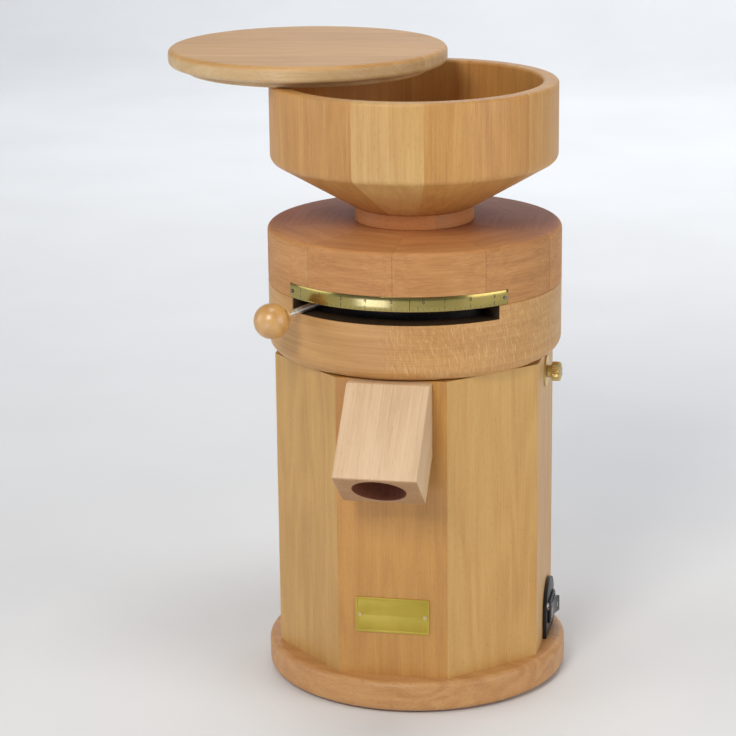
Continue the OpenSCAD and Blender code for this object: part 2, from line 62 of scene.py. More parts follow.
def camera():
    az, pitch, roll = math.radians(10.44), math.radians(15.54), math.radians(-0.65)
    dist, height, shift_px, f_px = 1.754, 0.704, 51.2, 2612.0
    loc = Vector((dist * math.sin(az), -dist * math.cos(az), height))
    fw = Vector((-math.sin(az), math.cos(az), 0))
    psi = math.atan(shift_px * math.cos(pitch) / f_px)
    fh = Vector((fw.x * math.cos(psi) - fw.y * math.sin(psi), fw.x * math.sin(psi) + fw.y * math.cos(psi), 0))
    right = Vector((fh.y, -fh.x, 0))
    ahead = fh * math.cos(pitch) - Vector((0, 0, math.sin(pitch)))
    up = right.cross(ahead)
    r2 = right * math.cos(roll) + up * math.sin(roll)
    u2 = up * math.cos(roll) - right * math.sin(roll)
    data = bpy.data.cameras.new("camera")
    data.sensor_width = 36.0
    data.lens = f_px / 736.0 * 36.0
    data.clip_start, data.clip_end = 0.05, 50
    cam = bpy.data.objects.new("camera", data)
    bpy.context.scene.collection.objects.link(cam)
    m = Matrix((( r2.x, u2.x, -ahead.x, loc.x), (r2.y, u2.y, -ahead.y, loc.y), (r2.z, u2.z, -ahead.z, loc.z), (0, 0, 0, 1)))
    cam.matrix_world = m
    bpy.context.scene.camera = cam


def area(name, az, el, dist, size, power, color, target=(0, 0, 0.24), size_y=None):
    """A soft box that looks at the target. Azimuth 0 is in front of the mill, positive to the right."""
    data = bpy.data.lights.new(name, "AREA")
    data.shape = "RECTANGLE"
    data.size, data.size_y = size, size_y or size
    data.energy, data.color = power, color
    o = bpy.data.objects.new(name, data)
    bpy.context.scene.collection.objects.link(o)
    a, e = math.radians(az), math.radians(el)
    t = Vector(target)
    o.location = t + dist * Vector((math.sin(a) * math.cos(e), -math.cos(a) * math.cos(e), math.sin(e)))
    o.rotation_euler = (o.location - t).to_track_quat("Z", "Y").to_euler()


def studio():
    area("key", -10, 36, 2.1, 0.55, 17.8, (1.0, 0.955, 0.87))
    area("fill_right", 68, 14, 2.3, 1.4, 18.5, (1.0, 0.975, 0.95))
    area("fill_left", -72, 14, 2.4, 1.4, 12.4, (0.99, 0.98, 0.97))
    area("top", 0, 88, 2.2, 0.8, 11.5, (1.0, 0.97, 0.95), (0, 0, 0.4))
    area("back", 176, 24, 2.4, 1.8, 2.0, (0.94, 0.93, 1.0))
    area("strip", -21, -12, 1.0, 0.40, 0.95, (0.46, 0.51, 0.92), (0, 0, 0.30), 0.13)
    area("wash", 0, 55, 2.6, 2.6, 46.0, (0.96, 0.98, 1.0), (0, 3.3, 0.1), 1.2)
    world = bpy.data.worlds.new("studio")
    world.use_nodes = True
    bg = world.node_tree.nodes["Background"]
    bg.inputs["Color"].default_value = (0.84, 0.88, 0.96, 1)
    bg.inputs["Strength"].default_value = 0.22
    bpy.context.scene.world = world
    vs = bpy.context.scene.view_settings
    vs.view_transform = "Standard"
    vs.look = "None"
    vs.exposure = 0.0
    vs.gamma = 1.0


# ---------------------------------------------------------------- node graphs

class G:
    """A material with a Principled shader and short calls for its node graph. Lengths are in mm."""

    def __init__(self, name):
        self.m = bpy.data.materials.new(name)
        self.m.use_nodes = True
        self.t = self.m.node_tree
        self.t.nodes.clear()
        self.b = self.t.nodes.new("ShaderNodeBsdfPrincipled")
        out = self.t.nodes.new("ShaderNodeOutputMaterial")
        self.t.links.new(self.b.outputs[0], out.inputs[0])
        tc = self.t.nodes.new("ShaderNodeTexCoord")
        self.P = self.vscale(tc.outputs["Object"], 1000)
        self.x, self.y, self.z = self.split(self.P)

    def put(self, socket, value):
        if isinstance(value, bpy.types.NodeSocket):
            self.t.links.new(value, socket)
        elif value is not None:
            if isinstance(value, (tuple, list)) and len(value) == 3 and socket.type == "RGBA":
                value = (*value, 1)
            socket.default_value = value

    def m_(self, op, a, b=None, c=None, clamp=False):
        n = self.t.nodes.new("ShaderNodeMath")
        n.operation, n.use_clamp = op, clamp
        for i, v in enumerate((a, b, c)):
            if v is not None:
                self.put(n.inputs[i], v)
        return n.outputs[0]

    def add(self, a, b): return self.m_("ADD", a, b)
    def sub(self, a, b): return self.m_("SUBTRACT", a, b)
    def mul(self, a, b): return self.m_("MULTIPLY", a, b)
    def div(self, a, b): return self.m_("DIVIDE", a, b)

    def vscale(self, v, s):
        n = self.t.nodes.new("ShaderNodeVectorMath")
        n.operation = "SCALE"
        self.put(n.inputs[0], v)
        n.inputs["Scale"].default_value = s
        return n.outputs[0]

    def split(self, v):
        n = self.t.nodes.new("ShaderNodeSeparateXYZ")
        self.put(n.inputs[0], v)
        return n.outputs[0], n.outputs[1], n.outputs[2]

    def vec(self, x, y, z):
        n = self.t.nodes.new("ShaderNodeCombineXYZ")
        for i, v in enumerate((x, y, z)):
            self.put(n.inputs[i], v)
        return n.outputs[0]

    def noise(self, v, scale=1.0, detail=2.0, rough=0.5, distort=0.0):
        n = self.t.nodes.new("ShaderNodeTexNoise")
        self.put(n.inputs["Vector"], v)
        n.inputs["Scale"].default_value = scale
        n.inputs["Detail"].default_value = detail
        n.inputs["Roughness"].default_value = rough
        n.inputs["Distortion"].default_value = distort
        return n.outputs[0]

    def voronoi(self, v, scale=1.0, feature="F1", rand=1.0):
        n = self.t.nodes.new("ShaderNodeTexVoronoi")
        n.feature = feature
        self.put(n.inputs["Vector"], v)
        n.inputs["Scale"].default_value = scale
        n.inputs["Randomness"].default_value = rand
        return n.outputs["Distance"]

    def span(self, v, a, b, c=0.0, d=1.0, smooth=False):
        n = self.t.nodes.new("ShaderNodeMapRange")
        n.clamp = True
        n.interpolation_type = "SMOOTHSTEP" if smooth else "LINEAR"
        self.put(n.inputs[0], v)
        for i, x in enumerate((a, b, c, d)):
            self.put(n.inputs[i + 1], x)
        return n.outputs[0]

    def ramp(self, v, stops, mode="LINEAR"):
        n = self.t.nodes.new("ShaderNodeValToRGB")
        n.color_ramp.interpolation = mode
        e = n.color_ramp.elements
        while len(e) < len(stops):
            e.new(0.5)
        for i, (p, c) in enumerate(stops):
            e[i].position = p
            e[i].color = (c, c, c, 1) if isinstance(c, (int, float)) else (*c, 1)
        self.put(n.inputs[0], v)
        return n.outputs[0]

    def mix(self, fac, a, b, blend="MIX"):
        n = self.t.nodes.new("ShaderNodeMix")
        n.data_type, n.blend_type = "RGBA", blend
        n.clamp_result = False
        self.put(n.inputs[0], fac)
        self.put(n.inputs[6], a)
        self.put(n.inputs[7], b)
        return n.outputs[2]

    def bump(self, height, strength=1.0, dist=0.0001, normal=None):
        n = self.t.nodes.new("ShaderNodeBump")
        n.inputs["Strength"].default_value = strength
        n.inputs["Distance"].default_value = dist
        self.put(n.inputs["Height"], height)
        if normal is not None:
            self.put(n.inputs["Normal"], normal)
        return n.outputs[0]

    def set(self, **k):
        names = {"color": "Base Color", "metal": "Metallic", "rough": "Roughness", "ior": "IOR", "normal": "Normal",
                 "coat": "Coat Weight", "coat_rough": "Coat Roughness", "spec": "Specular IOR Level",
                 "aniso": "Anisotropic", "sheen": "Sheen Weight", "sss": "Subsurface Weight"}
        for key, value in k.items():
            self.put(self.b.inputs[names[key]], value)
        return self.m


def turns(g):
    """Angle about the mill's axis as 0 to 1, starting from -X and going round through the front."""
    a = g.m_("ARCTAN2", g.y, g.x)
    return g.m_("MULTIPLY_ADD", a, 1 / (2 * math.pi), 0.5)


def sectors(g, joints, values):
    """A constant value for each sector between joints, which are angles in degrees from -180 to 180."""
    stops = [((j + 180) / 360, v) for j, v in sorted(zip(joints, values))]
    last = stops[-1][1]
    return g.ramp(turns(g), [(0.0, last)] + stops, "CONSTANT")


BEECH = dict(dark=(0.330, 0.140, 0.035), mid=(0.560, 0.292, 0.087), light=(0.730, 0.445, 0.170))
PALE = dict(dark=(0.470, 0.280, 0.140), mid=(0.700, 0.500, 0.300), light=(0.820, 0.640, 0.430))
ROSY = dict(dark=(0.300, 0.118, 0.034), mid=(0.510, 0.240, 0.075), light=(0.670, 0.370, 0.140))


def wood(g, u, w, l, cols, tone=None, seed=None, figure=0.30, streak=0.45, fibre=0.55, fleck=0.55, fleck_len=0.28, mottle=0.25,
         rings=7.0, rough=(0.40, 0.56), coat=0.12, bump=0.35, shift=0.0, tint=None, over=None):
    """Oiled beech. u and w are across the grain and l is along it, in mm."""
    if seed is not None:
        u = g.add(u, g.mul(seed, 731.0))
        l = g.add(l, g.mul(seed, 1733.0))
    base = g.vec(g.mul(u, 0.030), g.mul(w, 0.030), g.mul(l, 0.0042))
    field = g.noise(base, 1.0, 2.0, 0.45, 0.25)
    bands = g.m_("PINGPONG", g.mul(field, rings), 0.5)
    bands = g.span(bands, 0.0, 0.5, 0.0, 1.0, smooth=True)
    wide = g.noise(g.vec(g.mul(u, 0.16), g.mul(w, 0.16), g.mul(l, 0.006)), 1.0, 3.0, 0.55)
    fine = g.noise(g.vec(g.mul(u, 1.05), g.mul(w, 1.05), g.mul(l, 0.022)), 1.0, 4.0, 0.62)
    rays = g.noise(g.vec(g.mul(u, 1.35), g.mul(w, 1.35), g.mul(l, fleck_len)), 1.0, 1.0, 0.5)
    dash = g.span(rays, 0.60, 0.74)
    pale_dash = g.span(rays, 0.40, 0.28)
    cloud = g.noise(g.vec(g.mul(u, 0.017), g.mul(w, 0.017), g.mul(l, 0.010)), 1.0, 3.0, 0.6, 0.4)
    v = g.add(0.52 + shift, g.mul(g.sub(bands, 0.5), figure))
    v = g.add(v, g.mul(g.sub(wide, 0.5), streak))
    v = g.add(v, g.mul(g.sub(fine, 0.5), fibre))
    v = g.add(v, g.mul(g.sub(cloud, 0.5), mottle * 2.4))
    if tone is not None:
        v = g.add(v, g.sub(tone, 0.5))
    col = g.ramp(v, [(0.0, cols["dark"]), (0.5, cols["mid"]), (1.0, cols["light"])])
    col = g.mix(g.mul(dash, fleck), col, tuple(c * 0.62 for c in cols["dark"]))
    col = g.mix(g.mul(pale_dash, fleck * 0.45), col, cols["light"])
    warm = g.noise(g.vec(g.mul(u, 0.008), g.mul(w, 0.008), g.mul(l, 0.006)), 1.0, 1.0, 0.5)
    col = g.mix(g.span(warm, 0.35, 0.7, 0.0, 0.35), col, (1.0, 0.86, 0.74), "MULTIPLY")
    if tint is not None:
        col = g.mix(1.0, col, tint, "MULTIPLY")
    if over is not None:
        col = over(col)
    pores = g.noise(g.vec(g.mul(u, 3.4), g.mul(w, 3.4), g.mul(l, 0.16)), 1.0, 2.0, 0.6)
    h = g.add(g.mul(fine, 0.7), g.mul(pores, 0.5))
    h = g.sub(h, g.mul(dash, 0.35))
    g.set(color=col, rough=g.span(g.add(g.mul(pores, 0.5), g.mul(fine, 0.5)), 0.3, 0.7, rough[1], rough[0]),
          normal=g.bump(h, bump, 0.00022), coat=coat, coat_rough=0.32, ior=1.5)
    return g.m


def mat_body():
    """Vertical boards, one per face of the octagon."""
    g = G("beech_body")
    k = g.m_("ROUND", g.div(g.m_("ARCTAN2", g.y, g.x), math.radians(45)))
    a = g.mul(k, math.radians(45))
    c, s = g.m_("COSINE", a), g.m_("SINE", a)
    u = g.sub(g.mul(g.y, c), g.mul(g.x, s))
    w = g.add(g.mul(g.x, c), g.mul(g.y, s))
    tone = sectors(g, [-157.5, -112.5, -67.5, -22.5, 22.5, 67.5, 112.5, 157.5], [0.45, 0.39, 0.54, 0.61, 0.47, 0.53, 0.45, 0.52])
    seed = sectors(g, [-157.5, -112.5, -67.5, -22.5, 22.5, 67.5, 112.5, 157.5], [0.11, 0.82, 0.31, 0.57, 0.93, 0.23, 0.71, 0.42])
    tint = sectors(g, [-157.5, -112.5, -67.5, -22.5, 22.5, 67.5, 112.5, 157.5],
                   [(1.0, 1.11, 1.06), (1.0, 0.98, 0.78), (1.0, 1.08, 1.0), (1.0, 1.08, 1.2), (1.0, 1.02, 0.95), (1.0, 0.98, 0.9), (1.0, 1.04, 1.0), (1.0, 1.09, 1.05)])
    return wood(g, u, w, g.z, BEECH, tone, seed, figure=0.10, streak=0.25, fibre=0.40, fleck=0.18, mottle=0.12, tint=tint)


def mat_base():
    """One wide board, grain from left to right, seen as long and end grain round the rim."""
    g = G("beech_base")
    a = math.radians(-12)
    l = g.add(g.mul(g.x, math.cos(a)), g.mul(g.y, math.sin(a)))
    u = g.sub(g.mul(g.y, math.cos(a)), g.mul(g.x, math.sin(a)))
    return wood(g, u, g.z, l, ROSY, None, None, figure=0.18, streak=0.40, fibre=0.50, fleck=0.35, mottle=0.14, shift=0.05, tint=(1.02, 1.08, 1.15))


def mat_lower_drum():
    """Turned drum: long grain round the left of its front, short upright end-grain flecks round the right, and painted
    shade inside the lever slot.
    """
    g = G("beech_drum_lower")
    theta = g.m_("ARCTAN2", g.y, g.x)
    r = g.m_("SQRT", g.add(g.mul(g.x, g.x), g.mul(g.y, g.y)))
    arc_len = g.mul(theta, 101.0)
    edge = g.add(theta, g.mul(g.sub(g.noise(g.vec(0.0, 0.0, g.mul(g.z, 0.06)), 1.0, 2.0, 0.5), 0.5), 0.3))
    right = g.mul(g.span(edge, math.radians(-98), math.radians(-84), 0.0, 1.0, smooth=True), g.span(edge, math.radians(60), math.radians(80), 1.0, 0.0, smooth=True))
    lean = g.add(arc_len, g.mul(g.z, 0.22))

    def over(col):
        short = g.noise(g.vec(g.mul(lean, 1.05), g.mul(g.z, 0.17), g.mul(r, 0.3)), 1.0, 3.0, 0.62, 0.5)
        pale = g.span(short, 0.53, 0.68)
        dark = g.span(short, 0.46, 0.32)
        c2 = g.mix(g.mul(pale, 0.52), col, (0.75, 0.48, 0.24))
        c2 = g.mix(g.mul(dark, 0.50), c2, (0.42, 0.175, 0.066))
        col = g.mix(right, col, c2)
        # Painted shade: the faces inside the lever slot are painted near-black, standing in for the shade inside the
        # slot.
        inside = g.mul(g.span(g.z, MID_Z - 9.45, MID_Z - 9.35), g.span(r, 100.45, 100.15))
        front = g.mul(g.span(theta, math.radians(-140), math.radians(-138)), g.span(theta, math.radians(-44), math.radians(-42), 1.0, 0.0))
        return g.mix(g.mul(g.mul(inside, front), 0.93), col, (0.012, 0.010, 0.009))
    return wood(g, g.z, g.mul(r, 0.4), arc_len, BEECH, None, None, figure=0.10, streak=0.34, fibre=0.56, fleck=0.10, mottle=0.10, bump=0.4, shift=-0.01, tint=(1.0, 1.05, 1.11), over=over)


def mat_upper_drum():
    """Ten segments of 36 degrees, each with its grain along its own middle tangent, with painted light and shade on the
    top face.
    """
    g = G("beech_drum_upper")
    first = -88.1
    joints = [first + 36 * i for i in range(-2, 8)]
    joints = [(j + 180) % 360 - 180 for j in joints]
    mids = [math.radians(j + 18) for j in joints]
    tones = [0.50, 0.45, 0.47, 0.40, 0.52, 0.45, 0.51, 0.47, 0.54, 0.49]
    seeds = [0.13, 0.67, 0.29, 0.84, 0.42, 0.95, 0.21, 0.58, 0.76, 0.37]
    cosr = sectors(g, joints, [(math.cos(m) + 1) / 2 for m in mids])
    sinr = sectors(g, joints, [(math.sin(m) + 1) / 2 for m in mids])
    c = g.m_("MULTIPLY_ADD", cosr, 2.0, -1.0)
    s = g.m_("MULTIPLY_ADD", sinr, 2.0, -1.0)
    w = g.add(g.mul(g.x, c), g.mul(g.y, s))
    l = g.sub(g.mul(g.y, c), g.mul(g.x, s))
    theta = g.m_("ARCTAN2", g.y, g.x)
    r = g.m_("SQRT", g.add(g.mul(g.x, g.x), g.mul(g.y, g.y)))

    def over(col):
        face = g.span(g.z, TOP_Z - 4.5, TOP_Z - 1.6, 0.0, 1.0, smooth=True)
        joint = g.mul(g.m_("PINGPONG", g.sub(theta, math.radians(first)), math.radians(18)), r)
        col = g.mix(g.mul(g.span(joint, 0.42, 0.12), g.span(face, 0.0, 1.0, 0.46, 0.20)), col, (0.16, 0.062, 0.020))
        # Painted light and shade on the top face: lighter and bluer at the front as painted light, darker and purpler
        # towards the back as the painted shadow of the bowl.
        tone = g.mix(g.span(g.y, -74.0, 4.0, 0.0, 1.0, smooth=True), (1.20, 1.19, 1.32), (0.62, 0.43, 0.52))
        return g.mix(face, col, g.mix(1.0, col, tone, "MULTIPLY"))
    return wood(g, w, g.z, l, ROSY, sectors(g, joints, tones), sectors(g, joints, seeds), figure=0.10, streak=0.42, fibre=0.85, fleck=0.15, mottle=0.10, rough=(0.52, 0.66), coat=0.0, shift=0.04, over=over)


STAVES = [-161, -143, -124, -105, -77, -56, -30, -4, 22, 48, 74, 100, 127, 153, 179]


def mat_hopper():
    """Coopered staves: the grain runs up each stave and each has its own tone."""
    g = G("beech_hopper")
    tones = [0.49, 0.46, 0.43, 0.70, 0.48, 0.47, 0.58, 0.50, 0.52, 0.47, 0.55, 0.44, 0.53, 0.48, 0.51]
    tints = [(1.0, 0.99, 0.93)] * 3 + [(0.98, 1.05, 1.04), (1.0, 0.99, 0.90), (1.0, 0.98, 0.92)] + [(1.0, 1.0, 0.96)] * 9
    seeds = [0.17, 0.63, 0.35, 0.88, 0.46, 0.73, 0.09, 0.55, 0.97, 0.26, 0.81, 0.39, 0.68, 0.14, 0.52]
    theta = g.m_("ARCTAN2", g.y, g.x)
    r = g.m_("SQRT", g.add(g.mul(g.x, g.x), g.mul(g.y, g.y)))
    return wood(g, g.mul(theta, 92.0), g.mul(r, 0.5), g.z, BEECH, sectors(g, STAVES, tones), sectors(g, STAVES, seeds),
                figure=0.09, streak=0.38, fibre=0.62, fleck=0.16, mottle=0.10, tint=sectors(g, STAVES, tints))


def mat_neck():
    """Ring of four segments under the bowl, upright grain, darkened as painted shade."""
    g = G("beech_neck")
    joints = [-150, -60, 30, 120]
    theta = g.m_("ARCTAN2", g.y, g.x)
    r = g.m_("SQRT", g.add(g.mul(g.x, g.x), g.mul(g.y, g.y)))
    # Painted shade: every segment is darkened and reddened to stand for the shade under the bowl, the right-hand
    # segment most.
    tints = [(0.93, 0.73, 0.76), (0.90, 0.70, 0.70), (0.93, 0.75, 0.76), (0.91, 0.72, 0.73)]
    return wood(g, g.z, g.mul(r, 0.8), g.mul(theta, 41.0), BEECH, sectors(g, joints, [0.50, 0.40, 0.54, 0.46]), sectors(g, joints, [0.33, 0.61, 0.12, 0.87]),
                figure=0.10, streak=0.30, fibre=0.50, fleck=0.30, mottle=0.10, tint=sectors(g, joints, tints))


def mat_lid():
    """Three edge-glued boards, grain from left to right."""
    g = G("beech_lid")
    a = math.radians(8)
    x, y = g.sub(g.x, -81.2), g.sub(g.y, 36.0)
    l = g.add(g.mul(x, math.cos(a)), g.mul(y, math.sin(a)))
    u = g.sub(g.mul(y, math.cos(a)), g.mul(x, math.sin(a)))
    k = g.div(g.add(u, 97.0), 194.0)
    tone = g.ramp(k, [(0.0, 0.52), (0.24, 0.60), (0.52, 0.48), (0.79, 0.56)], "CONSTANT")
    seed = g.ramp(k, [(0.0, 0.31), (0.24, 0.72), (0.52, 0.14), (0.79, 0.55)], "CONSTANT")

    def over(col):
        # The rim band is made paler and bluer all round: partly lighter end grain, partly a painted highlight along the
        # edge.
        rim = g.mul(g.span(g.z, LID_TOP - 1.4, LID_TOP - 3.6), g.span(g.z, 418.5, 419.5))
        return g.mix(rim, col, g.mix(1.0, col, (1.02, 1.28, 1.95), "MULTIPLY"))
    return wood(g, u, g.z, l, BEECH, tone, seed, figure=0.12, streak=0.36, fibre=0.50, fleck=0.22, mottle=0.12, shift=0.05, over=over)


def mat_spout():
    """The palest piece: grain along the slope, with end grain round the mouth, darkened there partly as painted shade.
    """
    g = G("beech_spout")
    q = math.sqrt(0.5)
    l = g.mul(g.add(g.y, g.z), q)
    w = g.mul(g.sub(g.z, g.y), q)
    depth = g.add(g.add(g.mul(g.y, -0.607), g.mul(g.z, -0.794)), 52.2)

    def over(col):
        # The mouth face is darkened: partly its end grain, partly painted shade on that face.
        mouth = g.mul(g.span(depth, -1.4, -0.5, 0.0, 1.0, smooth=True), g.span(g.y, -117.0, -119.0))
        return g.mix(mouth, col, g.mix(1.0, col, (0.66, 0.54, 0.44), "MULTIPLY"))
    return wood(g, g.x, w, l, PALE, None, None, figure=0.10, streak=0.36, fibre=0.66, fleck=0.18, fleck_len=0.16, mottle=0.24, rough=(0.46, 0.62), coat=0.05, over=over)


def mat_bore():
    """Inside of the duct: the same wood, painted much darker as the shade inside the bore."""
    g = G("spout_bore")
    q = math.sqrt(0.5)
    l = g.mul(g.add(g.y, g.z), q)
    w = g.mul(g.sub(g.z, g.y), q)
    return wood(g, g.x, w, l, dict(dark=(0.12, 0.030, 0.011), mid=(0.20, 0.058, 0.023), light=(0.29, 0.095, 0.040)), None, None,
                figure=0.10, streak=0.4, fibre=0.7, fleck=0.4, mottle=0.2, rough=(0.62, 0.80), coat=0.0)


def mat_knob():
    """Turned ball under clear lacquer."""
    g = G("beech_knob")
    return wood(g, g.x, g.mul(g.z, 1.0), g.y, dict(dark=(0.40, 0.18, 0.045), mid=(0.58, 0.31, 0.09), light=(0.74, 0.46, 0.17)),
                None, None, figure=0.25, fibre=0.35, fleck=0.3, mottle=0.15, rough=(0.30, 0.40), coat=0.85, bump=0.08)


def mat_plywood():
    g = G("birch_plywood")
    ply = g.m_("PINGPONG", g.mul(g.z, 0.5), 0.5)
    v = g.add(g.mul(g.span(ply, 0.2, 0.3), 0.25), g.mul(g.noise(g.vec(g.mul(g.x, 0.05), g.mul(g.y, 1.2), g.z), 1.0, 4.0, 0.6), 0.7))
    g.set(color=g.ramp(v, [(0.1, (0.36, 0.22, 0.11)), (0.6, (0.66, 0.47, 0.27)), (1.0, (0.76, 0.58, 0.36))]), rough=0.62,
          normal=g.bump(v, 0.3, 0.0001))
    return g.m


def mat_brass(name="brass", along=None, rough=(0.16, 0.32), tint=(0.83, 0.60, 0.20)):
    """Polished brass with fine drawn lines, faint tarnish and small scratches."""
    g = G(name)
    line = g.noise(along(g) if along else g.vec(g.mul(g.x, 0.35), g.mul(g.y, 0.35), g.mul(g.z, 9.0)), 1.0, 3.0, 0.65)
    haze = g.noise(g.P, 0.05, 2.0, 0.5, 0.2)
    spots = g.span(g.noise(g.P, 0.9, 2.0, 0.5), 0.66, 0.78)
    col = g.mix(g.span(haze, 0.35, 0.75, 0.0, 0.55), tint, tuple(c * f for c, f in zip(tint, (0.72, 0.70, 0.58))))
    col = g.mix(g.mul(spots, 0.30), col, (0.30, 0.19, 0.06))
    r = g.add(g.span(line, 0.3, 0.7, rough[0], rough[1]), g.mul(haze, 0.10))
    g.set(color=col, metal=1.0, rough=r, normal=g.bump(line, 0.16, 0.00004))
    return g.m


def mat_steel(name="steel", rough=(0.16, 0.30), color=(0.74, 0.75, 0.77)):
    g = G(name)
    line = g.noise(g.vec(g.mul(g.x, 0.6), g.mul(g.y, 0.6), g.mul(g.z, 7.0)), 1.0, 3.0, 0.6)
    haze = g.noise(g.P, 0.18, 3.0, 0.6)
    col = g.mix(g.span(haze, 0.3, 0.8), color, tuple(c * 0.80 for c in color))
    g.set(color=col, metal=1.0, rough=g.add(g.span(line, 0.3, 0.7, rough[0], rough[1]), g.mul(haze, 0.08)), normal=g.bump(line, 0.15, 0.00004))
    return g.m


def mat_blackened():
    """Steel with a black oxide finish, worn a little along its turned lines."""
    g = G("blackened_steel")
    line = g.noise(g.vec(g.mul(g.x, 0.3), g.mul(g.y, 0.3), g.mul(g.z, 6.0)), 1.0, 3.0, 0.6)
    worn = g.span(g.noise(g.P, 0.35, 4.0, 0.65), 0.58, 0.80)
    g.set(color=g.mix(g.mul(worn, 0.4), (0.016, 0.015, 0.015), (0.13, 0.125, 0.12)), metal=0.85, rough=g.span(line, 0.3, 0.7, 0.38, 0.52), normal=g.bump(line, 0.2, 0.00005))
    return g.m


def mat_aluminium():
    g = G("cast_aluminium")
    n = g.noise(g.P, 1.6, 4.0, 0.6)
    g.set(color=g.ramp(n, [(0.3, (0.50, 0.51, 0.53)), (0.7, (0.68, 0.69, 0.71))]), metal=1.0, rough=g.span(n, 0.3, 0.7, 0.38, 0.55), normal=g.bump(n, 0.35, 0.00012))
    return g.m


def mat_plastic(name, dark, light, rough=(0.30, 0.44), grain=0.22):
    """Moulded plastic with a fine spark-eroded grain."""
    g = G(name)
    cells = g.voronoi(g.P, 2.6)
    n = g.noise(g.P, 1.3, 4.0, 0.6)
    smear = g.noise(g.P, 0.10, 3.0, 0.55)
    col = g.mix(g.span(smear, 0.3, 0.75), dark, light)
    g.set(color=col, rough=g.add(g.span(smear, 0.3, 0.7, rough[0], rough[1]), g.mul(n, 0.05)), normal=g.bump(g.add(cells, g.mul(n, 0.5)), grain, 0.00008), ior=1.5)
    return g.m


def mat_rubber():
    g = G("rubber")
    n = g.noise(g.P, 2.2, 4.0, 0.65)
    g.set(color=g.ramp(n, [(0.3, (0.018, 0.018, 0.019)), (0.75, (0.045, 0.044, 0.043))]), rough=g.span(n, 0.3, 0.7, 0.62, 0.82), normal=g.bump(n, 0.4, 0.0001))
    return g.m


def mat_stone():
    """Sintered corundum grit."""
    g = G("millstone")
    cells = g.voronoi(g.P, 1.1)
    n = g.noise(g.P, 0.7, 5.0, 0.7)
    col = g.ramp(g.add(g.mul(cells, 0.8), g.mul(n, 0.4)), [(0.1, (0.36, 0.34, 0.31)), (0.5, (0.66, 0.63, 0.57)), (0.9, (0.83, 0.81, 0.76))])
    g.set(color=col, rough=0.92, normal=g.bump(g.add(cells, n), 0.9, 0.0004))
    return g.m


def mat_felt():
    g = G("felt")
    n = g.noise(g.P, 2.8, 6.0, 0.75, 0.8)
    g.set(color=g.ramp(n, [(0.3, (0.60, 0.57, 0.49)), (0.7, (0.80, 0.78, 0.72))]), rough=0.95, normal=g.bump(n, 0.9, 0.0004), sheen=0.3)
    return g.m


def mat_iron():
    """Stacked electrical steel: half-millimetre laminations."""
    g = G("laminations")
    lam = g.m_("PINGPONG", g.mul(g.z, 1.0), 0.5)
    n = g.noise(g.P, 0.8, 3.0, 0.6)
    col = g.mix(g.span(lam, 0.08, 0.16), (0.05, 0.05, 0.055), (0.26, 0.27, 0.29))
    g.set(color=col, metal=0.9, rough=g.span(n, 0.3, 0.7, 0.38, 0.6), normal=g.bump(lam, 0.5, 0.0001))
    return g.m


def mat_copper():
    """Wound enamelled wire, 0.8 mm."""
    g = G("windings")
    r = g.m_("SQRT", g.add(g.mul(g.x, g.x), g.mul(g.y, g.y)))
    a = g.m_("PINGPONG", g.add(g.mul(r, 0.62), g.mul(g.noise(g.P, 0.3, 1.0), 0.6)), 0.5)
    b = g.m_("PINGPONG", g.add(g.mul(g.z, 0.62), g.mul(g.noise(g.P, 0.25, 1.0), 0.6)), 0.5)
    h = g.mul(a, b)
    g.set(color=g.ramp(h, [(0.0, (0.10, 0.025, 0.008)), (0.12, (0.52, 0.17, 0.05))]), metal=0.85, rough=0.34, normal=g.bump(h, 0.8, 0.0006))
    return g.m


def mat_lead():
    g = G("wire_sleeve")
    n = g.noise(g.P, 0.7, 3.0, 0.6)
    g.set(color=g.ramp(n, [(0.3, (0.12, 0.045, 0.018)), (0.7, (0.20, 0.08, 0.035))]), rough=g.span(n, 0.3, 0.7, 0.42, 0.56), normal=g.bump(n, 0.2, 0.0001))
    return g.m


def mat_ink():
    """Dark filling of the engraved marks."""
    g = G("engraving_fill")
    n = g.noise(g.P, 2.0, 3.0, 0.6)
    g.set(color=g.ramp(n, [(0.3, (0.030, 0.020, 0.012)), (0.7, (0.075, 0.050, 0.028))]), rough=g.span(n, 0.3, 0.7, 0.45, 0.65))
    return g.m


def mat_white_ink():
    g = G("white_mark")
    n = g.noise(g.P, 3.0, 3.0, 0.6)
    g.set(color=g.ramp(n, [(0.3, (0.62, 0.62, 0.60)), (0.7, (0.80, 0.80, 0.78))]), rough=g.span(n, 0.3, 0.7, 0.4, 0.55))
    return g.m


def mat_floor():
    g = G("floor")
    n = g.noise(g.P, 0.004, 2.0, 0.5)
    g.set(color=g.ramp(n, [(0.3, (0.80, 0.81, 0.82)), (0.7, (0.84, 0.85, 0.86))]), rough=0.72, spec=0.25)
    return g.m


# ---------------------------------------------------------------- mesh helpers

def shape(name, verts, faces, mats, angle=32, scale=MM):
    me = bpy.data.meshes.new(name)
    me.from_pydata([(x * scale, y * scale, z * scale) for x, y, z in verts], [], faces)
    return finish_mesh(name, me, mats, angle)


def finish_mesh(name, me, mats, angle=32):
    bm = bmesh.new()
    bm.from_mesh(me)
    bmesh.ops.recalc_face_normals(bm, faces=bm.faces)
    bm.to_mesh(me)
    bm.free()
    for p in me.polygons:
        p.use_smooth = True
    me.set_sharp_from_angle(angle=math.radians(angle))
    for m in mats if isinstance(mats, (list, tuple)) else [mats]:
        me.materials.append(m)
    o = bpy.data.objects.new(name, me)
    bpy.context.scene.collection.objects.link(o)
    return o


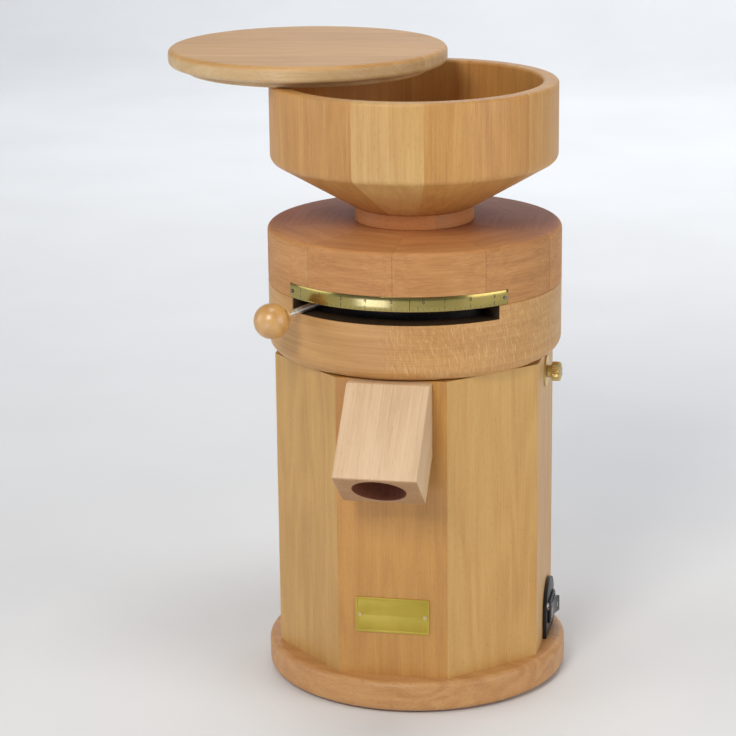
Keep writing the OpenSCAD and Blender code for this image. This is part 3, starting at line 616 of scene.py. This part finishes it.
def bake(o, angle=32):
    """Applies the modifiers of an object to a mesh of its own."""
    bpy.context.view_layer.update()
    ev = o.evaluated_get(bpy.context.evaluated_depsgraph_get())
    me = bpy.data.meshes.new_from_object(ev, preserve_all_data_layers=True, depsgraph=bpy.context.evaluated_depsgraph_get())
    o.modifiers.clear()
    o.data = me
    for p in me.polygons:
        p.use_smooth = True
    me.set_sharp_from_angle(angle=math.radians(angle))
    return o


def cut(o, *tools):
    for t in tools:
        m = o.modifiers.new("cut", "BOOLEAN")
        m.operation, m.solver, m.object = "DIFFERENCE", "EXACT", t
    bake(o)
    for t in tools:
        bpy.data.objects.remove(t)
    return o


def soften(o, width, segments=3, angle=35):
    m = o.modifiers.new("soft", "BEVEL")
    m.width, m.segments = width * MM, segments
    m.limit_method, m.angle_limit = "ANGLE", math.radians(angle)
    m.use_clamp_overlap = True
    m.harden_normals = False
    return bake(o, 28)


def arc(cx, cy, r, a0, a1, n=8):
    return [(cx + r * math.cos(math.radians(a0 + (a1 - a0) * i / n)), cy + r * math.sin(math.radians(a0 + (a1 - a0) * i / n))) for i in range(n + 1)]


def prism(name, pts, z0, z1, mats, place=lambda p: p):
    """A polygon pulled along its third axis, then put in place."""
    n = len(pts)
    verts = [place((x, y, z0)) for x, y in pts] + [place((x, y, z1)) for x, y in pts]
    faces = [tuple(range(n))[::-1], tuple(range(n, 2 * n))] + [(i, (i + 1) % n, n + (i + 1) % n, n + i) for i in range(n)]
    return shape(name, verts, faces, mats)


def tube(name, mats, r, z0, z1, place=lambda p: p, n=96, r2=None):
    pts = [(math.cos(2 * math.pi * i / n), math.sin(2 * math.pi * i / n)) for i in range(n)]
    r2 = r if r2 is None else r2
    verts = [place((r * x, r * y, z0)) for x, y in pts] + [place((r2 * x, r2 * y, z1)) for x, y in pts]
    faces = [tuple(range(n))[::-1], tuple(range(n, 2 * n))] + [(i, (i + 1) % n, n + (i + 1) % n, n + i) for i in range(n)]
    return shape(name, verts, faces, mats)


def lathe(name, profile, angles, mats, radius=lambda r, z, a, i: r, place=lambda p: p, closed=True, angle=32):
    """Turns a profile of (r, z) points about the axis, at the given angles in degrees."""
    n, k = len(profile), len(angles)
    verts = []
    for a in angles:
        ca, sa = math.cos(math.radians(a)), math.sin(math.radians(a))
        for i, (r, z) in enumerate(profile):
            q = radius(r, z, a, i)
            verts.append(place((q * ca, q * sa, z)))
    faces = []
    for j in range(k):
        j2 = (j + 1) % k
        for i in range(n if closed else n - 1):
            i2 = (i + 1) % n
            faces.append((j * n + i, j2 * n + i, j2 * n + i2, j * n + i2))
    if not closed:
        for end in (0, n - 1):
            ring = [j * n + end for j in range(k)]
            faces.append(tuple(ring))
    return shape(name, verts, faces, mats, angle)


def round_rect(cx, cy, w, h, r, n=6):
    x, y = w / 2 - r, h / 2 - r
    return arc(cx + x, cy - y, r, -90, 0, n) + arc(cx + x, cy + y, r, 0, 90, n) + arc(cx - x, cy + y, r, 90, 180, n) + arc(cx - x, cy - y, r, 180, 270, n)


def join(name, parts, mats):
    """Several meshes as one, each with its material's index."""
    verts, faces, index = [], [], []
    for o, mi in parts:
        base = len(verts)
        verts += [v.co.copy() for v in o.data.vertices]
        for p in o.data.polygons:
            faces.append(tuple(base + v for v in p.vertices))
            index.append(mi)
        bpy.data.objects.remove(o)
    me = bpy.data.meshes.new(name)
    me.from_pydata([tuple(v) for v in verts], [], faces)
    for p, mi in zip(me.polygons, index):
        p.material_index = mi
        p.use_smooth = True
    me.set_sharp_from_angle(angle=math.radians(30))
    for m in mats:
        me.materials.append(m)
    o = bpy.data.objects.new(name, me)
    bpy.context.scene.collection.objects.link(o)
    return o


# ---------------------------------------------------------------- pieces

def segment_angles(joints, gap, step):
    """Angles round a glued ring: three close together at each joint, the middle one in the groove."""
    js, out, grooves = sorted(joints), [], set()
    for i, a in enumerate(js):
        b = js[i + 1] if i + 1 < len(js) else js[0] + 360
        grooves.add(len(out) + 1)
        out += [a - gap, a, a + gap]
        n = max(4, round((b - a) / step))
        out += [a + gap + (b - a - 2 * gap) * t / n for t in range(1, n)]
    return out, grooves


def ring_piece(name, profile, joints, mat, depth, first, last, gap=0.11, step=2.5):
    """A turned ring with a fine V groove at each joint, on the profile points from first to last."""
    angles, grooves = segment_angles(joints, gap, step)
    n = len(profile)
    normals = []
    for i in range(n):
        (r0, z0), (r1, z1) = profile[i - 1], profile[(i + 1) % n]
        d = math.hypot(r1 - r0, z1 - z0) or 1
        normals.append(((z1 - z0) / d, -(r1 - r0) / d))
    verts, faces = [], []
    for j, a in enumerate(angles):
        ca, sa = math.cos(math.radians(a)), math.sin(math.radians(a))
        for i, (r, z) in enumerate(profile):
            if j in grooves and first <= i <= last:
                r, z = r - normals[i][0] * depth, z - normals[i][1] * depth
            verts.append((r * ca, r * sa, z))
    k = len(angles)
    for j in range(k):
        j2 = (j + 1) % k
        for i in range(n):
            i2 = (i + 1) % n
            faces.append((j * n + i, j2 * n + i, j2 * n + i2, j * n + i2))
    return shape(name, verts, faces, mat, 38)


def make_hopper(mat, neck_mat):
    """Coopered bowl: staves with a fine V joint between them, turned round, with a rounded rim, on a neck ring."""
    end = (HOP_R - 6 + 6 * math.cos(math.radians(-60)), CYL_Z + 3.2 + 6 * math.sin(math.radians(-60)))
    profile = [(22.4, 333.25), (41.6, 333.25), (42.3, 333.4)]
    profile += [(42 + (end[0] - 42) * t, 333.2 + (end[1] - 333.2) * t) for t in (0.2, 0.4, 0.6, 0.8)]
    profile += arc(HOP_R - 6, CYL_Z + 3.2, 6, -60, 0, 10)
    profile += [(HOP_R, z) for z in (382, 394, 406)]
    profile += arc(HOP_R - 2.2, RIM_Z - 2.2, 2.2, 0, 90, 6) + arc(HOP_IN + 2.2, RIM_Z - 2.2, 2.2, 90, 180, 6)
    profile += [(HOP_IN, z) for z in (404, 388)] + arc(HOP_IN - 5, CYL_Z + 7.9, 5, 0, -58, 6)
    profile += [(62, 356.5), (40, 343.6)]
    bowl = ring_piece("hopper_bowl", profile, STAVES, mat, 0.16, 1, len(profile) - 1)
    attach(bowl, "head")
    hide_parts("hopper")
    neck = [(20, TOP_Z - 13.85), (35.6, TOP_Z - 13.85), (36, TOP_Z - 13.4), (36, TOP_Z + 0.05), (NECK_R - 0.5, TOP_Z + 0.05), (NECK_R, TOP_Z + 0.55),
            (NECK_R, TOP_Z + 5), (NECK_R, NECK_Z - 0.2), (NECK_R - 0.5, NECK_Z + 0.3), (22.4, NECK_Z + 0.38), (20, 331.8), (18.2, 329.9), (16.6, 327.8), (16, 325.6), (16, 318), (16, TOP_Z - 11.9), (20, TOP_Z - 11.9)]
    ring = ring_piece("hopper_neck_ring", neck, [-150, -60, 30, 120], neck_mat, 0.15, 4, 8, 0.25, 3)
    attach(ring, "head")
    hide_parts("hopper_neck")


def make_spout(mat, bore_mat):
    """Slanted block with softened edges and the flour duct bored through it."""
    pts = [(BODY_F, 232.7), (101.7, 232.7), (152, 182), (118, 156), (BODY_F, 156 + (118 - BODY_F) * 0.95)]
    o = prism("flour_spout", pts, -28, 28, mat, lambda p: (p[2], -p[0], p[1]))
    q = math.sqrt(0.5)

    def along(p):
        x, y, z = p
        return (x, -135 + z * q - y * q, 169 + z * q + y * q)
    bore = lathe("bore", [(18, -40), (18, 24), (17.6, 26.5), (13.4, 35), (13, 37), (13, 98)], [i * 3.0 for i in range(120)], mat, place=along, closed=False)
    cut(o, bore)
    soften(o, 1.0, 3)
    o.data.materials.append(bore_mat)
    for f in o.data.polygons:
        c = f.center / MM
        t = ((c.y + 135) + (c.z - 169)) * q
        off = math.hypot(c.x, ((c.z - 169) - (c.y + 135)) * q)
        if off < 18.4 and abs((f.normal.y + f.normal.z) * q) < 0.6 and t > -14:
            f.material_index = 1
    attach(o, "housing")
    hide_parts("outlet_spout")


def digit(text, height, mat):
    """The flat outline of a plain number, from the built-in font, as a mesh in its own plane."""
    cu = bpy.data.curves.new("digit", "FONT")
    cu.body, cu.size = text, height
    cu.align_x, cu.align_y = "CENTER", "CENTER"
    cu.resolution_u = 3
    tmp = bpy.data.objects.new("digit", cu)
    bpy.context.scene.collection.objects.link(tmp)
    bpy.context.view_layer.update()
    me = bpy.data.meshes.new_from_object(tmp.evaluated_get(bpy.context.evaluated_depsgraph_get()))
    bpy.data.objects.remove(tmp)
    return [tuple(v.co) for v in me.vertices], [tuple(p.vertices) for p in me.polygons]


def make_scale(brass, ink):
    """Brass strip round the drum: rounded corners, softened edges, filled ticks and plain numbers."""
    r0, r1, z0, z1 = 100.4, 101.2, MID_Z + 0.3, MID_Z + 10.1
    a0, a1 = -90 - 46.6 + 1.3 + 0.1, -90 + 46.6 + 1.3 - 0.1
    half = (z1 - z0) / 2
    cols = 190
    verts, faces = [], []
    prof = []
    for i in range(cols + 1):
        a = a0 + (a1 - a0) * i / cols
        s = min(math.radians(a - a0), math.radians(a1 - a)) * r1
        inset = 0 if s >= 1.4 else 1.4 - math.sqrt(max(0.0, 1.4 ** 2 - (1.4 - s) ** 2))
        h = half - inset
        c = (z0 + z1) / 2
        e = 0.22 if 0 < i < cols else 0.22
        ring = [(r0, c - h), (r1 - e, c - h), (r1 - 0.06, c - h + 0.07), (r1, c - h + e), (r1, c - h + (2 * h) / 3), (r1, c + h - (2 * h) / 3), (r1, c + h - e), (r1 - 0.06, c + h - 0.07), (r1 - e, c + h), (r0, c + h)]
        prof.append((a, ring))
    n = len(prof[0][1])
    for a, ring in prof:
        ca, sa = math.cos(math.radians(a)), math.sin(math.radians(a))
        verts += [(r * ca, r * sa, z) for r, z in ring]
    for j in range(cols):
        for i in range(n):
            i2 = (i + 1) % n
            faces.append((j * n + i, (j + 1) * n + i, (j + 1) * n + i2, j * n + i2))
    faces.append(tuple(range(n)))
    faces.append(tuple(cols * n + i for i in range(n)))
    strip = shape("strip", verts, faces, brass)
    marks_v, marks_f = [], []

    def on(a_mid, dx, dz):
        a = math.radians(a_mid) + dx / r1
        return (r1 + 0.03) * math.cos(a), (r1 + 0.03) * math.sin(a), (z0 + z1) / 2 + dz

    def tick(a, h0, h1, w):
        base = len(marks_v)
        for q in (r1 + 0.03, r1 - 0.1):
            for dx, dz in ((-w, h0), (w, h0), (w, h1), (-w, h1)):
                t = math.radians(a) + dx / r1
                marks_v.append((q * math.cos(t), q * math.sin(t), (z0 + z1) / 2 + dz))
        b = base
        marks_f.extend([(b, b + 1, b + 2, b + 3), (b + 4, b + 7, b + 6, b + 5), (b, b + 4, b + 5, b + 1), (b + 1, b + 5, b + 6, b + 2), (b + 2, b + 6, b + 7, b + 3), (b + 3, b + 7, b + 4, b)])
    for i in range(41):
        a = -128.5 + i * 2.0
        if i % 5 == 0:
            tick(a, -4.3, -1.2, 0.16)
        else:
            tick(a, -4.3, -3.1, 0.10)
    tick(-81.6, -4.3, 4.2, 0.20)
    for i in range(9):
        a = -128.5 + i * 10.0
        vs, fs = digit(str(i + 1), 4.2, ink)
        base = len(marks_v)
        rr = [(dx, dz) for dx, dz, _ in vs]
        for q in (r1 + 0.03, r1 - 0.1):
            for dx, dz in rr:
                t = math.radians(a + (2.0 if abs(a + 78.5) < 0.1 or False else 0.0)) + dx / r1
                marks_v.append((q * math.cos(t), q * math.sin(t), (z0 + z1) / 2 + 1.7 + dz))
        k = len(rr)
        edge = {}
        for f in fs:
            marks_f.append(tuple(base + v for v in f))
            marks_f.append(tuple(base + k + v for v in reversed(f)))
            for s, t in zip(f, f[1:] + f[:1]):
                edge[(s, t)] = edge.get((s, t), 0) + 1
        for (s, t) in edge:
            if (t, s) not in edge:
                marks_f.append((base + t, base + s, base + k + s, base + k + t))
    marks = shape("marks", marks_v, marks_f, ink, 20)
    o = join("setting_scale", [(strip, 0), (marks, 1)], [brass, ink])
    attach(o, "head")
    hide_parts("brass_scale")


def make_clamp_knob(mat):
    """Knurled brass grip on the thread."""
    x0 = BODY_F + 1.6
    prof = [(3.05, 0.0), (4.2, 0.0), (4.4, 0.2), (4.4, 2.2), (5.6, 2.6), (6.1, 3.0), (6.4, 3.6), (6.4, 5.0), (6.4, 6.6), (6.4, 8.0), (6.0, 8.7), (5.4, 9.1), (4.4, 9.35), (3.5, 9.5), (3.05, 9.5)]
    teeth, per = 30, 6

    def radius(r, z, a, i):
        if 5 <= i <= 10:
            t = (a / (360 / teeth)) % 1.0
            depth = 0.42 if 6 <= i <= 9 else 0.18
            return r + 0.28 - depth * abs(2 * t - 1) * 1.4
        return r
    o = lathe("clamp_grip_knurled", prof, [360 / (teeth * per) * i for i in range(teeth * per)], mat, radius,
              place=lambda p: (x0 + p[2], p[1], 218 - p[0]), angle=24)
    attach(o, "clamp_grip")
    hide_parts("clamp_knob")


def make_switch(black, gloss, white):
    y0, zc, plate_z, pr = 13.5, 40.0, 41.5, 20.5
    base = 23.1
    outline = [(y0 - pr, base), (y0 + pr, base)] + arc(y0, plate_z, pr, 0, 180, 40)
    put = lambda p: (p[2], p[0], p[1])
    plate = prism("switch_face", outline, BODY_F, BODY_F + 2.8, black, put)
    tools = [prism("t", round_rect(y0, zc, 24.4, 14.4, 0.8, 3), BODY_F - 2, BODY_F + 6, black, put)]
    for s in (-1, 1):
        tools.append(tube("t", black, 1.6, BODY_F - 2, BODY_F + 6, lambda p, s=s: (p[2], y0 + s * SCREW_Y + p[0], plate_z + 4.5 + p[1]), 32))
    cut(plate, *tools)
    soften(plate, 0.7, 3)
    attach(plate, "housing")
    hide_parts("switch_plate")

    box = prism("switch_frame", round_rect(y0, zc, 24, 14, 0.8, 3), BODY_F - 26, BODY_F + 2.8, black, put)
    lip = prism("lip", round_rect(y0, zc, 26.4, 16.4, 1.8, 6), BODY_F + 2.8, BODY_F + 4.8, black, put)
    hole1 = prism("t", round_rect(y0, zc, 22.4, 12.2, 0.6, 3), BODY_F - 7, BODY_F + 8, black, put)
    hole2 = prism("t", round_rect(y0, zc, 22.4, 12.2, 0.6, 3), BODY_F - 7, BODY_F + 8, black, put)
    cut(box, hole1)
    cut(lip, hole2)
    soften(lip, 0.5, 3)
    frame_ = join("switch_frame_lip", [(box, 0), (lip, 0)], [black])
    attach(frame_, "housing")
    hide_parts("switch_body")

    pts = [(-3.4, -5), (0.5, -10.3), (6.2, -10.3)] + [(6.2 - (1 - (y / 10.3) ** 2), y) for y in [-10.3 + 20.6 * i / 14 for i in range(1, 14)]] + [(6.2, 10.3), (0.5, 10.3), (-3.4, 5)]
    ca, sa = math.cos(math.radians(-9)), math.sin(math.radians(-9))

    def tilt(p):
        x, y, z = p
        return (BODY_F + 0.6 + x * ca - y * sa, y0 + x * sa + y * ca, zc + z)
    rock = prism("rocker", pts, -5.7, 5.7, gloss, tilt)
    soften(rock, 0.45, 3, 30)
    face = lambda y: 6.2 - (1 - (y / 10.3) ** 2)
    mv, mf = [], []

    def patch(pts2):
        b = len(mv)
        k = len(pts2)
        for lift in (0.05, -0.2):
            mv.extend(tilt((face(y) + lift, y, z)) for y, z in pts2)
        mf.append(tuple(range(b, b + k)))
        mf.append(tuple(range(b + 2 * k - 1, b + k - 1, -1)))
        for i in range(k):
            mf.append((b + (i + 1) % k, b + i, b + k + i, b + k + (i + 1) % k))
    patch([(6.3, -1.7), (6.8, -1.7), (6.8, 1.7), (6.3, 1.7)])
    n = 28
    ring_o = [(-6.5 + 1.7 * math.cos(2 * math.pi * i / n), 1.7 * math.sin(2 * math.pi * i / n)) for i in range(n)]
    ring_i = [(-6.5 + 1.25 * math.cos(2 * math.pi * i / n), 1.25 * math.sin(2 * math.pi * i / n)) for i in range(n)]
    b = len(mv)
    for lift in (0.05, -0.2):
        mv.extend(tilt((face(y) + lift, y, z)) for y, z in ring_o)
        mv.extend(tilt((face(y) + lift, y, z)) for y, z in ring_i)
    for i in range(n):
        j = (i + 1) % n
        mf.append((b + i, b + j, b + n + j, b + n + i))
        mf.append((b + 2 * n + j, b + 2 * n + i, b + 3 * n + i, b + 3 * n + j))
        mf.append((b + j, b + i, b + 2 * n + i, b + 2 * n + j))
        mf.append((b + n + i, b + n + j, b + 3 * n + j, b + 3 * n + i))
    marks = shape("marks", mv, mf, white, 20)
    o = join("rocker_cap", [(rock, 0), (marks, 1)], [gloss, white])
    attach(o, "rocker")
    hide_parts("switch_rocker")


SCREW_Y = 16.3


def make_label(mat):
    """Bare brass plate with rounded corners, a fine bevel and a turned-down edge line."""
    put = lambda p: (p[0], -p[2], p[1])
    o = prism("front_plate", round_rect(0, 66.5, 51, 25, 1.2, 6), BODY_F, BODY_F + 0.8, mat, put)
    tools = []
    for s in (-1, 1):
        tools.append(tube("t", mat, 0.9, BODY_F - 2, BODY_F + 3, lambda p, s=s: (s * 22.5 + p[0], -p[2], 66.5 + p[1]), 24))
    outer = prism("t", round_rect(0, 66.5, 48.2, 22.2, 0.8, 4), BODY_F + 0.68, BODY_F + 2, mat, put)
    inner = prism("t2", round_rect(0, 66.5, 47.4, 21.4, 0.5, 4), BODY_F + 0.5, BODY_F + 3, mat, put)
    cut(outer, inner)
    cut(o, outer, *tools)
    soften(o, 0.14, 2)
    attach(o, "housing")
    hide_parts("label_plate")


def make_spring(mat):
    """Flat-wire wave spring of three turns, crest on crest, which the stone carrier presses flatter."""
    z0, height, wire = MID_Z - 1.25, 4.34, 0.40
    pitch = height / 4
    swing = (pitch - wire) / 2
    steps = 3 * 144
    verts, faces = [], []
    for i in range(steps + 1):
        a = 2 * math.pi * i / 144
        z = z0 + wire / 2 + swing + pitch * i / 144 + swing * math.sin(4.5 * a)
        c, s_ = math.cos(a), math.sin(a)
        for r, dz in ((40.4, -0.14), (40.55, -0.2), (46.45, -0.2), (46.6, -0.14), (46.6, 0.14), (46.45, 0.2), (40.55, 0.2), (40.4, 0.14)):
            verts.append((r * c, r * s_, z + dz))
    for i in range(steps):
        for j in range(8):
            k = (j + 1) % 8
            faces.append((i * 8 + j, (i + 1) * 8 + j, (i + 1) * 8 + k, i * 8 + k))
    faces += [tuple(range(8)), tuple(steps * 8 + j for j in range(7, -1, -1))]
    o = shape("wave_spring_wire", verts, faces, mat, 30)
    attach(o, "head")
    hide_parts("wave_spring")
    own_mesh(o)


def make_floor(mat):
    """A pale floor that curves up into a plain wall far behind."""
    prof = [(-6.0, 0.0)] + [(2.6 + 1.2 * math.sin(math.radians(a)), 1.2 - 1.2 * math.cos(math.radians(a))) for a in range(0, 91, 6)] + [(3.8, 5.0)]
    verts, faces = [], []
    for x in (-6.0, 6.0):
        verts += [(x, y, z) for y, z in prof]
    n = len(prof)
    for i in range(n - 1):
        faces.append((i, i + 1, n + i + 1, n + i))
    me = bpy.data.meshes.new("floor")
    me.from_pydata(verts, [], faces)
    for p in me.polygons:
        p.use_smooth = True
    me.materials.append(mat)
    o = bpy.data.objects.new("floor", me)
    bpy.context.scene.collection.objects.link(o)


# ---------------------------------------------------------------- build

camera()
studio()

brass = mat_brass(tint=(0.72, 0.57, 0.27), rough=(0.24, 0.40))
scale_brass = mat_brass("brass_scale", lambda g: g.vec(g.mul(g.x, 0.25), g.mul(g.y, 0.25), g.mul(g.z, 8.0)), (0.11, 0.19), (0.42, 0.34, 0.115))
plate_brass = mat_brass("brass_plate", lambda g: g.vec(g.mul(g.x, 0.12), g.y, g.mul(g.z, 9.0)), (0.34, 0.46), (0.62, 0.475, 0.085))
steel = mat_steel()
black = mat_plastic("black_plastic", (0.0065, 0.0065, 0.007), (0.014, 0.014, 0.015))
gloss = mat_plastic("black_gloss", (0.006, 0.006, 0.0065), (0.011, 0.011, 0.012), (0.14, 0.22), 0.06)
ink = mat_ink()

MATS = {
    "wood_body": mat_body(), "wood_hopper": mat_hopper(), "wood_pale": mat_lid(), "wood_knob": mat_knob(), "plywood": mat_plywood(),
    "brass": brass, "steel": steel, "black_plastic": black, "rubber": mat_rubber(),
    "white_plastic": mat_plastic("nylon", (0.62, 0.62, 0.58), (0.74, 0.74, 0.70), (0.45, 0.6), 0.15),
    "lead": mat_lead(), "cast_aluminium": mat_aluminium(), "iron": mat_iron(), "copper": mat_copper(), "stone": mat_stone(), "felt": mat_felt(),
}
OWN = {"adjusting_ring": mat_blackened(), "lever_rod": mat_steel("lever_steel", (0.30, 0.42), (0.86, 0.86, 0.86)),
       "scale_pins": mat_steel("burnished_steel", (0.34, 0.46), (0.23, 0.20, 0.16)), "chamber_ring": mat_neck(), "base_disc": mat_base(), "lower_drum": mat_lower_drum(), "upper_drum": mat_upper_drum(), "brass_scale": scale_brass, "label_plate": plate_brass}
spout_mat = mat_spout()
OWN["outlet_spout"] = spout_mat

slots = {s["node"]: s["material_slot"] for s in frame["record"]["subparts"]}
for name, o in nodes.items():
    m = OWN.get(name) or MATS.get(slots.get(name))
    if not o.material_slots:
        o.data.materials.append(m)
    for s in o.material_slots:
        s.material = m

make_hopper(MATS["wood_hopper"], mat_neck())
make_spout(spout_mat, mat_bore())
make_scale(scale_brass, ink)
make_clamp_knob(brass)
make_switch(black, gloss, mat_white_ink())
make_label(plate_brass)
make_spring(steel)
make_floor(mat_floor())
